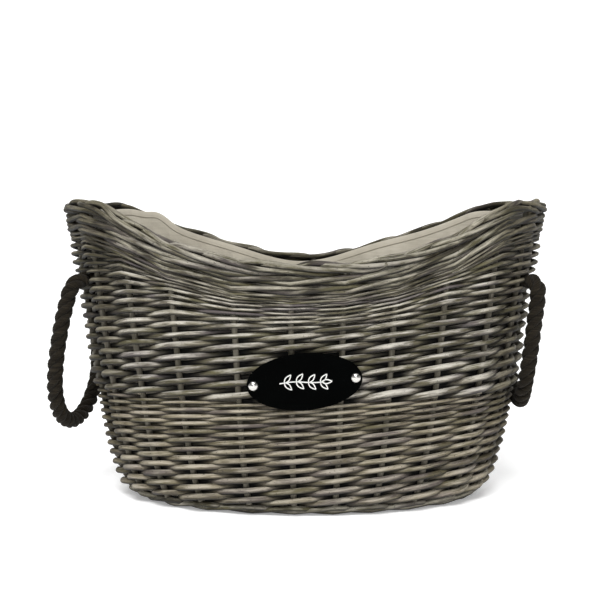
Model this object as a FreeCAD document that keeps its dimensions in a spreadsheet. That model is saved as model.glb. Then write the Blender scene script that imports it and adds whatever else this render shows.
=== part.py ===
"""Oval willow log basket: stake-and-strand woven walls with a saddle rim, cloth liner, sign plaque and
two rope handles. Millimetres, +X along the basket's length, -Y its front, +Z up, origin at the centre
of the underside."""

import FreeCAD, Part
import bisect
import math
import os

import Sketcher
from FreeCAD import Rotation, Vector

DOCUMENT = FreeCAD.newDocument("LogBasket")
SHEET = DOCUMENT.addObject("Spreadsheet::Sheet", "Sizes")

DRIVING_SIZES = {
    # The outer form: every level is an ellipse, and its half length grows with the root of its height.
    "form_height": 367,
    "foot_half_length": 212,
    "rim_half_length": 298.5,
    "width_ratio": 0.633,
    "wall_thickness": 17,
    "cut_margin": 3,
    # The saddle rim: one hollow arc, a rounded shoulder at each end, and flat ends.
    "rim_dip_height": 292,
    "saddle_radius": 465,
    "saddle_half_angle": 31,
    "shoulder_radius": 58,
    # Bands of the wall, from the floor up.
    "foot_top": 19,
    "dense_bottom": 120,
    "dense_top": 137,
    "rim_wale_depth": 41,
    "border_depth": 18,
    "border_swell": 1.5,
    # Upright stakes.
    "stake_diameter": 7,
    "stake_bottom": 8,
    "stake_top_cover": 9,
    # The woven base.
    "base_bottom": 3,
    "base_top": 16,
    "base_fit": 0.3,
    "long_stick_diameter": 7,
    "long_stick_spacing": 36,
    "cross_stick_diameter": 10,
    "cross_stick_spacing": 42,
    "stick_fit": 0.2,
    # The cloth liner.
    "liner_gap": 8,
    "liner_thickness": 1.5,
    "liner_top_drop": 14,
    # Rope handles.
    "rope_diameter": 20,
    "rope_hole_height": 270,
    "rope_hole_clearance": 1.5,
    "rope_exit_x": 283,
    "rope_exit_y": 70,
    "rope_exit_angle": 39,
    "knot_distance": 63,
    "knot_radius": 21,
    "rope_tail_length": 44,
    # The sign plaque and its fixings.
    "plaque_half_length": 65,
    "plaque_half_width": 32.5,
    "plaque_thickness": 3,
    "plaque_edge_radius": 1,
    "plaque_height": 160,
    "plaque_standoff": 0.8,
    "plaque_lean": 6.4,
    "plaque_roll": 4.7,
    "bolt_spacing": 115,
    "bolt_diameter": 4,
    "bolt_clearance": 0.3,
    "bolt_head_radius": 5.75,
    "bolt_head_height": 3.6,
    "bolt_length": 30,
    "washer_radius": 6,
    "washer_thickness": 1,
    "washer_depth": 22.8,
    "nut_width": 7,
    "nut_thickness": 3,
}

STAKE_COUNT = 24
STAKE_RUNS = 5
FIRST_STAKE_TURN = -93.4
# Shares of a step by which single stakes stand off their even places, by their place from the first.
STAKE_SHIFTS = {3: 0.05, 4: 0.2, 5: 0.1, 19: -0.15, 20: -0.3, 21: -0.35, 22: -0.35, 23: -0.1}
LONG_STICKS = (-1, 0, 1)
CROSS_STICKS = (-4, -3, -2, -1, 0, 1, 2, 3, 4)

# Centre lines of the two rope loops, from the front exit round to the back one.
LEFT_LOOP = (
    (-283, -70, 255),
    (-291, -71, 220),
    (-297, -71, 181),
    (-299, -65, 140),
    (-296, -42, 106),
    (-289, 1, 90),
    (-279, 43, 105),
    (-272, 67, 141),
    (-273, 71, 182),
    (-278, 70, 221),
    (-283, 70, 255),
)
RIGHT_LOOP = (
    (283, -70, 255),
    (281, -70, 225),
    (278, -71, 193),
    (273, -67, 158),
    (272, -43, 127),
    (276, -1, 113),
    (274, 42, 126),
    (273, 67, 158),
    (277, 71, 193),
    (281, 71, 225),
    (283, 70, 255),
)
ARC_SHARE = 0.45

SUBPARTS = []


def fill_sheet():
    for row, (name, value) in enumerate(DRIVING_SIZES.items(), start=1):
        SHEET.set(f"A{row}", name)
        SHEET.set(f"B{row}", str(value))
        SHEET.setAlias(f"B{row}", name)
    DOCUMENT.recompute()


def size(name):
    return float(SHEET.get(name))


def add(kind, label):
    item = DOCUMENT.addObject(kind, label)
    item.Label = label
    return item


def keep(item):
    """Marks a finished sub-part, which is written to a file of its own."""
    SUBPARTS.append(item)
    return item


def bind(item, **expressions):
    for path, expression in expressions.items():
        item.setExpression(path.replace("__", "."), expression)
    return item


# ---- round rods along a route ----


def rounded_route(points):
    """Straight runs joined by tangent arcs, each as large as its two runs allow, and the arcs' radii."""
    edges = []
    radii = []
    last = points[0]
    for before, corner, after in zip(points, points[1:], points[2:]):
        back = before - corner
        ahead = after - corner
        trim = ARC_SHARE * min(back.Length, ahead.Length)
        half_turn = (math.pi - back.getAngle(ahead)) / 2
        radius = trim / math.tan(half_turn)
        inward = (back.normalize() + ahead.normalize()).normalize()
        centre_distance = radius / math.cos(half_turn)
        start = corner + back * trim
        end = corner + ahead * trim
        middle = corner + inward * (centre_distance - radius)
        edges.append(Part.LineSegment(last, start).toShape())
        edges.append(Part.Arc(start, middle, end).toShape())
        radii.append(radius)
        last = end
    edges.append(Part.LineSegment(last, points[-1]).toShape())
    return Part.Wire(edges), radii


def sweep_along(label, points, radius):
    """A round rod along straight runs joined by tangent arcs, its radius bound to the sheet."""
    wire, _ = rounded_route(points)
    route = add("Part::Feature", f"{label}_route")
    route.Shape = wire
    section = add("Part::Circle", f"{label}_section")
    section.Placement = FreeCAD.Placement(points[0], Rotation(Vector(0, 0, 1), points[1] - points[0]))
    bind(section, Radius=radius)
    rod = add("Part::Sweep", label)
    rod.Sections = [section]
    rod.Spine = (route, [f"Edge{i}" for i in range(1, len(wire.Edges) + 1)])
    rod.Solid = True
    return keep(rod)


# ---- the outer form ----


def half_length_at(height):
    """Expression for the form's half length at a height, which is an expression too."""
    grow = "(Sizes.rim_half_length - Sizes.foot_half_length)"
    return f"(Sizes.foot_half_length + {grow} * sqrt(max(0; {height}) / Sizes.form_height))"


def form_half_length(height):
    grow = size("rim_half_length") - size("foot_half_length")
    return size("foot_half_length") + grow * math.sqrt(max(0, height) / size("form_height"))


def form_section(label, height, outset):
    ellipse = add("Part::Ellipse", label)
    return bind(
        ellipse,
        MajorRadius=f"{half_length_at(height)} + {outset}",
        MinorRadius=f"Sizes.width_ratio * {half_length_at(height)} + {outset}",
        Placement__Base__z=height,
    )


def form_loft(label, heights, outset):
    sections = [form_section(f"{label}_level_{i}", height, outset) for i, height in enumerate(heights, 1)]
    loft = add("Part::Loft", label)
    loft.Sections = sections
    loft.Solid = True
    return loft


def boolean(kind, label, base, tool):
    item = add(kind, label)
    item.Base = base
    item.Tool = tool
    return item


def ring(label, heights, outset, thickness):
    """A closed ring of the form between its first and last heights. The core cut out of it is taller."""
    outer = form_loft(f"{label}_outer", heights, outset)
    core_heights = [f"{heights[0]} - Sizes.cut_margin", *heights[1:-1], f"{heights[-1]} + Sizes.cut_margin"]
    core = form_loft(f"{label}_core", core_heights, f"{outset} - {thickness}")
    return outer, core


# ---- the saddle rim ----


def saddle_outline(drop):
    """Closed outline, in XZ, of everything under the rim line lowered by drop."""
    arc_radius = size("saddle_radius")
    shoulder = size("shoulder_radius")
    angle = math.radians(size("saddle_half_angle"))
    dip = size("rim_dip_height") - drop
    reach = size("rim_half_length") * 1.2

    def hollow(turn):
        return Vector(arc_radius * math.sin(turn), 0, dip + arc_radius * (1 - math.cos(turn)))

    shoulder_start = hollow(angle)
    top = shoulder_start.z + shoulder * (1 - math.cos(angle))
    shoulder_end = Vector(shoulder_start.x + shoulder * math.sin(angle), 0, top)
    shoulder_middle = Vector(
        shoulder_end.x - shoulder * math.sin(angle / 2), 0, top - shoulder * (1 - math.cos(angle / 2))
    )
    right = [shoulder_start, shoulder_middle, shoulder_end, Vector(reach, 0, top), Vector(reach, 0, -reach)]
    left = [Vector(-point.x, 0, point.z) for point in right]
    return Part.Wire(
        [
            Part.Arc(left[0], hollow(0), right[0]).toShape(),
            Part.Arc(*right[:3]).toShape(),
            Part.LineSegment(right[2], right[3]).toShape(),
            Part.LineSegment(right[3], right[4]).toShape(),
            Part.LineSegment(right[4], left[4]).toShape(),
            Part.LineSegment(left[4], left[3]).toShape(),
            Part.LineSegment(left[3], left[2]).toShape(),
            Part.Arc(*reversed(left[:3])).toShape(),
        ]
    )


def under_rim(label, drop):
    outline = add("Part::Feature", f"{label}_outline")
    outline.Shape = Part.Face(saddle_outline(drop))
    block = add("Part::Extrusion", label)
    block.Base = outline
    block.DirMode = "Custom"
    block.Dir = Vector(0, 1, 0)
    block.Solid = True
    block.Symmetric = True
    return bind(block, LengthFwd="4 * Sizes.rim_half_length")


def between(label, solid, upper_block, lower_block=None):
    """The part of a solid under the upper block's rim line and, if there is one, over the lower one."""
    if lower_block is None:
        return boolean("Part::Common", label, solid, upper_block)
    lowered = boolean("Part::Common", f"{label}_under", solid, upper_block)
    return boolean("Part::Cut", label, lowered, lower_block)


# ---- the woven wall ----


def wall_ring(label, heights):
    outer, core = ring(label, heights, "0", "Sizes.wall_thickness")
    return boolean("Part::Cut", label, outer, core)


def rope_hole(label, side, end, radius):
    """A round tool along the rope's way through the wall. side is -1 at the left, end -1 at the front."""
    tool = add("Part::Cylinder", label)
    tool.Placement = exit_placement(side, end, -size("knot_distance"))
    return bind(tool, Radius=radius, Height="2 * Sizes.knot_distance")


def exit_placement(side, end, along):
    """Local +Z points out of the wall along the rope, from a point that far along from the exit."""
    angle = math.radians(size("rope_exit_angle"))
    outward = Vector(side * math.cos(angle), end * math.sin(angle), 0)
    exit_point = Vector(side * size("rope_exit_x"), end * size("rope_exit_y"), size("rope_hole_height"))
    return FreeCAD.Placement(exit_point + outward * along, Rotation(Vector(0, 0, 1), outward))


def rope_hole_tools(label):
    radius = "Sizes.rope_diameter / 2 + Sizes.rope_hole_clearance"
    return [
        rope_hole(f"{label}_rope_hole_{side}_{end}", side, end, radius)
        for side in (-1, 1)
        for end in (-1, 1)
    ]


def pierce(label, solid, tools):
    group = add("Part::Compound", f"{label}_holes")
    group.Links = tools
    return boolean("Part::Cut", label, solid, group)


def make_wall(rim_line, border_line, wale_line):
    keep(wall_ring("foot_wale", ["0", "Sizes.foot_top / 2", "Sizes.foot_top"]))
    span = "(Sizes.dense_bottom - Sizes.foot_top)"
    lower_heights = [f"Sizes.foot_top + {span} * {share}" for share in (0, 0.2, 0.55, 1)]
    keep(wall_ring("lower_weave", lower_heights))
    keep(wall_ring("dense_band", ["Sizes.dense_bottom", "Sizes.dense_top"]))

    upper_span = "(Sizes.form_height - Sizes.dense_top)"
    upper_heights = [f"Sizes.dense_top + {upper_span} * {share}" for share in (0, 0.25, 0.55, 1.03)]
    upper = wall_ring("upper_wall", upper_heights)
    solid_middle = between("middle_weave_solid", upper, wale_line)
    keep(pierce("middle_weave", solid_middle, rope_hole_tools("weave") + bolt_hole_tools()))

    wale_heights = [f"Sizes.form_height * {share}" for share in (0.62, 0.8, 1.03)]
    wale = wall_ring("rim_wale_ring", wale_heights)
    keep(between("rim_wale", wale, border_line, wale_line))

    border_heights = [f"Sizes.form_height * {share}" for share in (0.7, 0.85, 1.03)]
    thickness = "Sizes.wall_thickness - 2 * Sizes.border_swell"
    outer, core = ring("border_ring", border_heights, "Sizes.border_swell", f"({thickness})")
    border = boolean("Part::Cut", "border_ring", outer, core)
    keep(between("rim_border", border, rim_line, border_line))


# ---- the stakes ----


def rim_height(x):
    """Height of the rim line over a place along the basket."""
    angle = math.radians(size("saddle_half_angle"))
    arc_radius = size("saddle_radius")
    shoulder = size("shoulder_radius")
    hollow_reach = arc_radius * math.sin(angle)
    top = size("rim_dip_height") + (arc_radius + shoulder) * (1 - math.cos(angle))
    shoulder_reach = hollow_reach + shoulder * math.sin(angle)
    if abs(x) <= hollow_reach:
        return size("rim_dip_height") + arc_radius - math.sqrt(arc_radius**2 - x * x)
    if abs(x) <= shoulder_reach:
        return top - shoulder + math.sqrt(shoulder**2 - (shoulder_reach - abs(x)) ** 2)
    return top


def stake_point(turn, root_share):
    """Centre of the wall at a turn round the form, where root_share is the root of the height's share."""
    half_length = form_half_length(size("form_height") * root_share**2)
    inset = size("wall_thickness") / 2
    x = (half_length - inset) * math.cos(turn)
    y = (size("width_ratio") * half_length - inset) * math.sin(turn)
    return Vector(x, y, size("form_height") * root_share**2)


def make_stake(number, turn):
    """A rod up the middle of the wall, along points on the form's profile."""
    low = math.sqrt(size("stake_bottom") / size("form_height"))
    top_height = rim_height(stake_point(turn, 1).x) - size("stake_top_cover")
    high = math.sqrt(top_height / size("form_height"))
    points = [stake_point(turn, low + (high - low) * i / STAKE_RUNS) for i in range(STAKE_RUNS + 1)]
    return sweep_along(f"stake_{number:02d}", points, "Sizes.stake_diameter / 2")


def stake_turns(shifts):
    """Turns of the stakes round the form: even steps along the mid-height oval, with small shifts."""
    steps = 7200
    half_length = form_half_length(size("form_height") / 2)
    half_width = size("width_ratio") * half_length
    turns = [math.radians(FIRST_STAKE_TURN) + 2 * math.pi * i / steps for i in range(steps + 1)]
    travelled = [0.0]
    for start, end in zip(turns, turns[1:]):
        run = math.hypot(
            half_length * (math.cos(end) - math.cos(start)), half_width * (math.sin(end) - math.sin(start))
        )
        travelled.append(travelled[-1] + run)
    share = travelled[-1] / STAKE_COUNT
    places = [share * (number + shifts.get(number, 0)) for number in range(STAKE_COUNT)]
    return [turns[bisect.bisect(travelled, place) - 1] for place in places]


def make_stakes():
    for number, turn in enumerate(stake_turns(STAKE_SHIFTS), start=1):
        make_stake(number, turn)


# ---- the base ----


def stick(label, diameter, half_length, across, along_x):
    rod = add("Part::Cylinder", label)
    bind(rod, Radius=f"{diameter} / 2", Height=f"2 * {half_length}")
    axis = Vector(1, 0, 0) if along_x else Vector(0, 1, 0)
    rod.Placement = FreeCAD.Placement(Vector(0, 0, 0), Rotation(Vector(0, 0, 1), axis))
    middle = "(Sizes.base_bottom + Sizes.base_top) / 2"
    start = f"-({half_length})"
    if along_x:
        return bind(rod, Placement__Base__x=start, Placement__Base__y=across, Placement__Base__z=middle)
    return bind(rod, Placement__Base__x=across, Placement__Base__y=start, Placement__Base__z=middle)


def base_reach(across, diameter, long_way):
    """Half length of a stick that stays inside the foot at its own place across the oval."""
    inset = "(Sizes.wall_thickness + 3 * Sizes.base_fit)"
    level = half_length_at("Sizes.base_bottom")
    half_x = f"({level} - {inset})"
    half_y = f"(Sizes.width_ratio * {level} - {inset})"
    reach, limit = (half_x, half_y) if long_way else (half_y, half_x)
    return f"({reach} * sqrt(1 - ((abs({across}) + {diameter} / 2) / {limit}) ^ 2))"


def base_sticks(prefix, diameter, spacing, places, along_x, fit):
    size_with_fit = f"({diameter} + 2 * {fit})"
    sticks = []
    for number, place in enumerate(places, start=1):
        across = f"{place} * {spacing}"
        reach = base_reach(across, diameter, along_x)
        reach = f"({reach} + 8 * {fit})"
        sticks.append(stick(f"{prefix}_{number}", size_with_fit, reach, across, along_x))
    return sticks


def group(label, links):
    item = add("Part::Compound", label)
    item.Links = links
    return item


def make_base():
    long_size = ("Sizes.long_stick_diameter", "Sizes.long_stick_spacing", LONG_STICKS, True)
    cross_size = ("Sizes.cross_stick_diameter", "Sizes.cross_stick_spacing", CROSS_STICKS, False)
    keep(group("base_long_sticks", base_sticks("long_stick", *long_size, "0")))
    cross = group("cross_sticks_whole", base_sticks("cross_stick", *cross_size, "0"))
    slots = group("long_stick_slots", base_sticks("long_slot", *long_size, "Sizes.stick_fit"))
    keep(boolean("Part::Cut", "base_cross_sticks", cross, slots))

    heights = ["Sizes.base_bottom", "(Sizes.base_bottom + Sizes.base_top) / 2", "Sizes.base_top"]
    disc = form_loft("base_disc", heights, "-(Sizes.wall_thickness + Sizes.base_fit)")
    channels = base_sticks("long_channel", *long_size, "Sizes.stick_fit")
    channels += base_sticks("cross_channel", *cross_size, "Sizes.stick_fit")
    keep(pierce("base_weave", disc, channels))


# ---- the liner ----


def make_liner(liner_line):
    gap = "(Sizes.wall_thickness + Sizes.liner_gap)"
    floor = "(Sizes.base_top + Sizes.base_fit)"
    base_heights = [floor, f"{floor} + Sizes.liner_thickness"]
    keep(form_loft("liner_base", base_heights, f"-{gap}"))

    start = f"({floor} + Sizes.liner_thickness)"
    heights = [f"{start} + (Sizes.form_height - {start}) * {share}" for share in (0, 0.06, 0.25, 0.6, 1.03)]
    outer, core = ring("liner_ring", heights, f"-{gap}", "Sizes.liner_thickness")
    cloth = boolean("Part::Cut", "liner_ring", outer, core)
    trimmed = between("liner_trimmed", cloth, liner_line)
    keep(pierce("liner_side", trimmed, rope_hole_tools("liner")))


# ---- the rope handles ----


def make_loop(label, points):
    loop = sweep_along(label, [Vector(*point) for point in points], "Sizes.rope_diameter / 2")
    DOCUMENT.recompute()
    wire, radii = rounded_route([Vector(*point) for point in points])
    expected = math.pi * (size("rope_diameter") / 2) ** 2 * wire.Length
    print(f"{label}: length {wire.Length:.0f}, volume ratio {loop.Shape.Volume / expected:.4f}")
    print(f"{label}: arc radii {[round(radius) for radius in radii]}")


def make_rope_end(label, side, end):
    """The rope through the wall, its rounded outer end at the exit, and its knot and tail inside."""
    stub = add("Part::Cylinder", f"{label}_stub")
    stub.Placement = exit_placement(side, end, -size("knot_distance"))
    bind(stub, Radius="Sizes.rope_diameter / 2", Height="Sizes.knot_distance")
    bend = add("Part::Sphere", f"{label}_bend")
    bend.Placement = exit_placement(side, end, 0)
    bind(bend, Radius="Sizes.rope_diameter / 2")
    knot = add("Part::Ellipsoid", f"{label}_knot")
    knot.Placement = exit_placement(side, end, -size("knot_distance"))
    bind(knot, Radius1="0.9 * Sizes.knot_radius", Radius2="Sizes.knot_radius", Radius3="Sizes.knot_radius")
    tail = add("Part::Cylinder", f"{label}_tail")
    tail.Placement = exit_placement(side, end, -size("knot_distance"))
    tail.Placement.Rotation = Rotation(Vector(1, 0, 0), 180)
    bind(tail, Radius="Sizes.rope_diameter / 2", Height="Sizes.rope_tail_length")
    rope_end = add("Part::MultiFuse", label)
    rope_end.Shapes = [stub, bend, knot, tail]
    return keep(rope_end)


def make_handles():
    make_loop("left_rope_loop", LEFT_LOOP)
    make_loop("right_rope_loop", RIGHT_LOOP)
    for side_name, side in (("left", -1), ("right", 1)):
        for end_name, end in (("front", -1), ("back", 1)):
            make_rope_end(f"{side_name}_{end_name}_rope_end", side, end)


# ---- the plaque ----


def plaque_placement(depth=0.0, along=0.0):
    """Local +Z points out of the front wall. depth goes into the wall and along is the long way."""
    turn = Rotation(Vector(1, 0, 0), 90 + size("plaque_lean")).multiply(
        Rotation(Vector(0, 0, 1), size("plaque_roll"))
    )
    half_width = size("width_ratio") * form_half_length(size("plaque_height"))
    centre = Vector(-1, -half_width - size("plaque_standoff"), size("plaque_height"))
    return FreeCAD.Placement(centre + turn.multVec(Vector(along, 0, -depth)), turn)


def bolt_places():
    return (-size("bolt_spacing") / 2, size("bolt_spacing") / 2)


def plaque_cylinder(label, radius, height, depth, along):
    """A cylinder square to the plaque that starts at a depth behind its back face and runs outwards."""
    item = add("Part::Cylinder", label)
    item.Placement = plaque_placement(depth, along)
    return bind(item, Radius=radius, Height=height)


def bolt_hole_tools():
    """Ways for the two bolts through the woven wall."""
    radius = "Sizes.bolt_diameter / 2 + Sizes.bolt_clearance"
    depth = size("bolt_length")
    return [
        plaque_cylinder(f"wall_bolt_hole_{number}", radius, "2 * Sizes.bolt_length", depth, along)
        for number, along in enumerate(bolt_places(), start=1)
    ]


def make_plaque():
    outline = add("Part::Ellipse", "plaque_outline")
    bind(outline, MajorRadius="Sizes.plaque_half_length", MinorRadius="Sizes.plaque_half_width")
    plate = add("Part::Extrusion", "plaque_plate")
    plate.Base = outline
    plate.DirMode = "Custom"
    plate.Dir = Vector(0, 0, 1)
    plate.Solid = True
    bind(plate, LengthFwd="Sizes.plaque_thickness")
    DOCUMENT.recompute()
    rounded = add("Part::Fillet", "plaque_rounded")
    rounded.Base = plate
    front_edge = max(range(len(plate.Shape.Edges)), key=lambda i: plate.Shape.Edges[i].BoundBox.ZMin)
    radius = size("plaque_edge_radius")
    rounded.Edges = [(front_edge + 1, radius, radius)]
    holes = []
    for number, along in enumerate(bolt_places(), start=1):
        hole = add("Part::Cylinder", f"plaque_hole_{number}")
        hole.Placement.Base = Vector(along, 0, -size("cut_margin"))
        bind(hole, Radius="Sizes.bolt_diameter / 2 + Sizes.bolt_clearance", Height="4 * Sizes.cut_margin")
        holes.append(hole)
    plaque = pierce("plaque", rounded, holes)
    plaque.Placement = plaque_placement()
    keep(plaque)


def make_bolt(number, along):
    """A domed head on the plaque's front face and a plain shank through the wall."""
    dome = "((Sizes.bolt_head_radius ^ 2 + Sizes.bolt_head_height ^ 2) / (2 * Sizes.bolt_head_height))"
    dome_radius = (size("bolt_head_radius") ** 2 + size("bolt_head_height") ** 2) / (
        2 * size("bolt_head_height")
    )
    head = add("Part::Sphere", f"bolt_head_{number}")
    seat = -size("plaque_thickness")
    head.Placement = plaque_placement(seat + dome_radius - size("bolt_head_height"), along)
    bind(head, Radius=dome, Angle1=f"asin(({dome} - Sizes.bolt_head_height) / {dome})")
    shank_depth = size("bolt_length") - size("plaque_thickness")
    shank = plaque_cylinder(
        f"bolt_shank_{number}", "Sizes.bolt_diameter / 2", "Sizes.bolt_length", shank_depth, along
    )
    bolt = add("Part::MultiFuse", f"bolt_{number}")
    bolt.Shapes = [head, shank]
    return bolt


def origin_plane(body, role):
    return next(item for item in body.Origin.OriginFeatures if item.Role == role)


def bound_circle(sketch, expression):
    """A circle about the sketch's origin, its radius bound to the sheet."""
    circle = sketch.addGeometry(Part.Circle(Vector(0, 0, 0), Vector(0, 0, 1), size("washer_radius")), False)
    sketch.addConstraint(Sketcher.Constraint("Coincident", circle, 3, -1, 1))
    dimension = sketch.addConstraint(Sketcher.Constraint("Radius", circle, size("washer_radius")))
    sketch.setExpression(f"Constraints[{dimension}]", expression)


def make_washer(number, along):
    body = add("PartDesign::Body", f"washer_{number}")
    sketch = body.newObject("Sketcher::SketchObject", f"washer_sketch_{number}")
    sketch.AttachmentSupport = [(origin_plane(body, "XY_Plane"), "")]
    sketch.MapMode = "FlatFace"
    bound_circle(sketch, "Sizes.washer_radius")
    bound_circle(sketch, "Sizes.bolt_diameter / 2 + Sizes.bolt_clearance")
    pad = body.newObject("PartDesign::Pad", f"washer_pad_{number}")
    pad.Profile = sketch
    bind(pad, Length="Sizes.washer_thickness")
    body.Placement = plaque_placement(size("washer_depth") + size("washer_thickness"), along)
    return body


def make_nut(number, along):
    depth = size("washer_depth") + size("washer_thickness") + size("nut_thickness")
    blank = add("Part::Prism", f"nut_blank_{number}")
    blank.Polygon = 6
    blank.Placement = plaque_placement(depth, along)
    bind(blank, Circumradius="Sizes.nut_width / (2 * cos(30))", Height="Sizes.nut_thickness")
    thread = "Sizes.bolt_diameter / 2 + Sizes.bolt_clearance / 4"
    hole = plaque_cylinder(f"nut_hole_{number}", thread, "3 * Sizes.nut_thickness", 2 * depth, along)
    hole.Placement = plaque_placement(depth + size("nut_thickness"), along)
    return boolean("Part::Cut", f"nut_{number}", blank, hole)


def make_fixings():
    places = list(enumerate(bolt_places(), start=1))
    keep(group("plaque_bolts", [make_bolt(number, along) for number, along in places]))
    keep(group("plaque_washers", [make_washer(number, along) for number, along in places]))
    keep(group("plaque_nuts", [make_nut(number, along) for number, along in places]))


# ---- the whole basket ----


def check_document():
    for item in DOCUMENT.Objects:
        if "Invalid" in item.State or "Error" in item.State:
            raise RuntimeError(f"{item.Label} failed: {item.State}")
    for item in SUBPARTS:
        if item.Shape.isNull() or not item.Shape.isValid():
            raise RuntimeError(f"{item.Label} has no valid shape")


def write_parts():
    os.makedirs("parts", exist_ok=True)
    for item in SUBPARTS:
        item.Shape.exportStep(f"parts/{item.Label}.step")
        print(f"{item.Label}: {len(item.Shape.Solids)} solids, {item.Shape.Volume:.0f} mm3")


def main():
    fill_sheet()
    border_depth = size("border_depth")
    rim_line = under_rim("under_rim_line", 0)
    border_line = under_rim("under_border_line", border_depth)
    wale_line = under_rim("under_wale_line", size("rim_wale_depth"))
    liner_line = under_rim("under_liner_line", size("liner_top_drop"))
    make_base()
    make_wall(rim_line, border_line, wale_line)
    make_stakes()
    make_liner(liner_line)
    make_handles()
    make_plaque()
    make_fixings()
    DOCUMENT.recompute()
    check_document()
    write_parts()


main()
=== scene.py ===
"""Looks of the willow log basket: every rod of the weave, wale and border, the twisted rope handles, the
cloth liner and the plaque's ornament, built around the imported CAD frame. Metres, in the frame's axes."""

import math

import bpy
import numpy as np
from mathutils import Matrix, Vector


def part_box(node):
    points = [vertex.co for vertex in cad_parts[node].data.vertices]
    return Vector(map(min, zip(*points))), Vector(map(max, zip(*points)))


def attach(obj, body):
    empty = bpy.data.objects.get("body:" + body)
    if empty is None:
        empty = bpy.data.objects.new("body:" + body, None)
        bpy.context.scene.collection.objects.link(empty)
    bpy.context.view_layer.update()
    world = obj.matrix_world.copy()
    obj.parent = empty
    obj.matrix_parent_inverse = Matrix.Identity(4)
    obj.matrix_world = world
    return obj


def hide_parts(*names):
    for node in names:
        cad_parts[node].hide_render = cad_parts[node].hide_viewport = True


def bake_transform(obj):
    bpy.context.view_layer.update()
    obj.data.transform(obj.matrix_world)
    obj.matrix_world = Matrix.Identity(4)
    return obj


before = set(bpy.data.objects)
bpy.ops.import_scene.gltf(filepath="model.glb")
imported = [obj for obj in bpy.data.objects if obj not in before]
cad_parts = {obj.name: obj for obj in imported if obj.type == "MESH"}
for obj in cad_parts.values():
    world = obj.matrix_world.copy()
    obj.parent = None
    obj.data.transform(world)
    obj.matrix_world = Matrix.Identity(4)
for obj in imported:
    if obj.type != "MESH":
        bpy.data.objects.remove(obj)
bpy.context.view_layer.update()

MM = 0.001
RANDOM = np.random.default_rng(7)


def unit(vectors):
    return vectors / np.linalg.norm(vectors, axis=-1, keepdims=True)


def directions(points):
    """The way that a line of points runs, at each of them."""
    return unit(np.gradient(points, axis=0))


def distances(points):
    """How far along its line each point is."""
    return np.concatenate([[0], np.cumsum(np.linalg.norm(np.diff(points, axis=0), axis=1))])


def mesh_points(mesh):
    return np.array([vertex.co for vertex in mesh.vertices])


# ---- sizes that the CAD part shares with its looks ----

WIDTH_RATIO = 0.633
WALL = 17 * MM
STAKE_RADIUS = 3.5 * MM
SADDLE_RADIUS = 465 * MM
SADDLE_ANGLE = math.radians(31)
SHOULDER_RADIUS = 58 * MM
BORDER_DEPTH = 18 * MM

RIM_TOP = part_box("rim_border")[1].z
RIM_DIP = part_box("rim_border")[0].z + BORDER_DEPTH
DENSE_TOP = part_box("dense_band")[1].z
STAKE_COUNT = sum(name.startswith("stake_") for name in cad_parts)


def form_lengths():
    """Half length of the form at the floor, and its growth up to the rim, from two levels of the frame."""
    low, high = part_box("foot_wale")[1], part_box("dense_band")[1]
    root_low, root_high = math.sqrt(low.z / RIM_TOP), math.sqrt(high.z / RIM_TOP)
    grow = (high.x - low.x) / (root_high - root_low)
    return low.x - grow * root_low, grow


FOOT_LENGTH, FORM_GROW = form_lengths()


TUCK_HEIGHT = 20 * MM
FOOT_TUCK = 15 * MM
BOW_START = 262 * MM
BOW_FULL = 290 * MM
RIM_BOW = 4.5 * MM
STEEPEST_FLARE = 0.35


def eased(value, start, end):
    share = np.clip((value - start) / (end - start), 0, 1)
    return share * share * (3 - 2 * share)


def half_length(height):
    """The form's half length. The rods of the foot are drawn in a little, and those over the rope holes
    bow out a little."""
    height = np.asarray(height, float)
    form = FOOT_LENGTH + FORM_GROW * np.sqrt(np.maximum(height, 1e-5) / RIM_TOP)
    tuck = FOOT_TUCK * np.maximum(1 - height / TUCK_HEIGHT, 0) ** 2
    return form - tuck + RIM_BOW * eased(height, BOW_START, BOW_FULL)


def flare(height):
    """Growth of the half length for each metre of height, no more than a rod can lean."""
    growth = FORM_GROW / (2 * np.sqrt(np.maximum(height, 1e-5) * RIM_TOP))
    return np.minimum(growth, STEEPEST_FLARE)


def wall_point(turn, height, inset):
    """A point at this turn round the form and this height, that far in from the wall's outer face."""
    length = half_length(height)
    x = (length - inset) * np.cos(turn)
    y = (WIDTH_RATIO * length - inset) * np.sin(turn)
    return np.stack([x, y, height + 0 * x], axis=-1)


def wall_normal(turn, height):
    length = half_length(height)
    along = np.stack([-length * np.sin(turn), WIDTH_RATIO * length * np.cos(turn), 0 * turn], axis=-1)
    rise = flare(height)
    up = np.stack([rise * np.cos(turn), WIDTH_RATIO * rise * np.sin(turn), 1 + 0 * turn], axis=-1)
    return unit(np.cross(along, up))


def rim_height(x):
    """The saddle rim line: a hollow arc, a rounded shoulder at each end, and flat ends."""
    reach = SADDLE_RADIUS * math.sin(SADDLE_ANGLE)
    shoulder = reach + SHOULDER_RADIUS * math.sin(SADDLE_ANGLE)
    x = np.minimum(np.abs(x), shoulder)
    hollow = RIM_DIP + SADDLE_RADIUS - np.sqrt(SADDLE_RADIUS**2 - np.minimum(x, reach) ** 2)
    drop = SHOULDER_RADIUS - np.sqrt(SHOULDER_RADIUS**2 - (shoulder - np.maximum(x, reach)) ** 2)
    return np.where(x <= reach, hollow, RIM_TOP - drop)


DIP_LIFT = 4 * MM
DIP_WIDTH = 75 * MM
BACK_LIFT = 9.5 * MM
BACK_REACH = 280 * MM


def back_shoulder(turn):
    """1 midway up the two slopes at the back of the rim, easing to 0 at the dip and at the ends."""
    x = np.abs(half_length(RIM_TOP) * np.cos(turn))
    return eased(np.sin(turn), 0.0, 0.6) * np.sin(np.pi * np.minimum(x / BACK_REACH, 1)) ** 2


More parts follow.
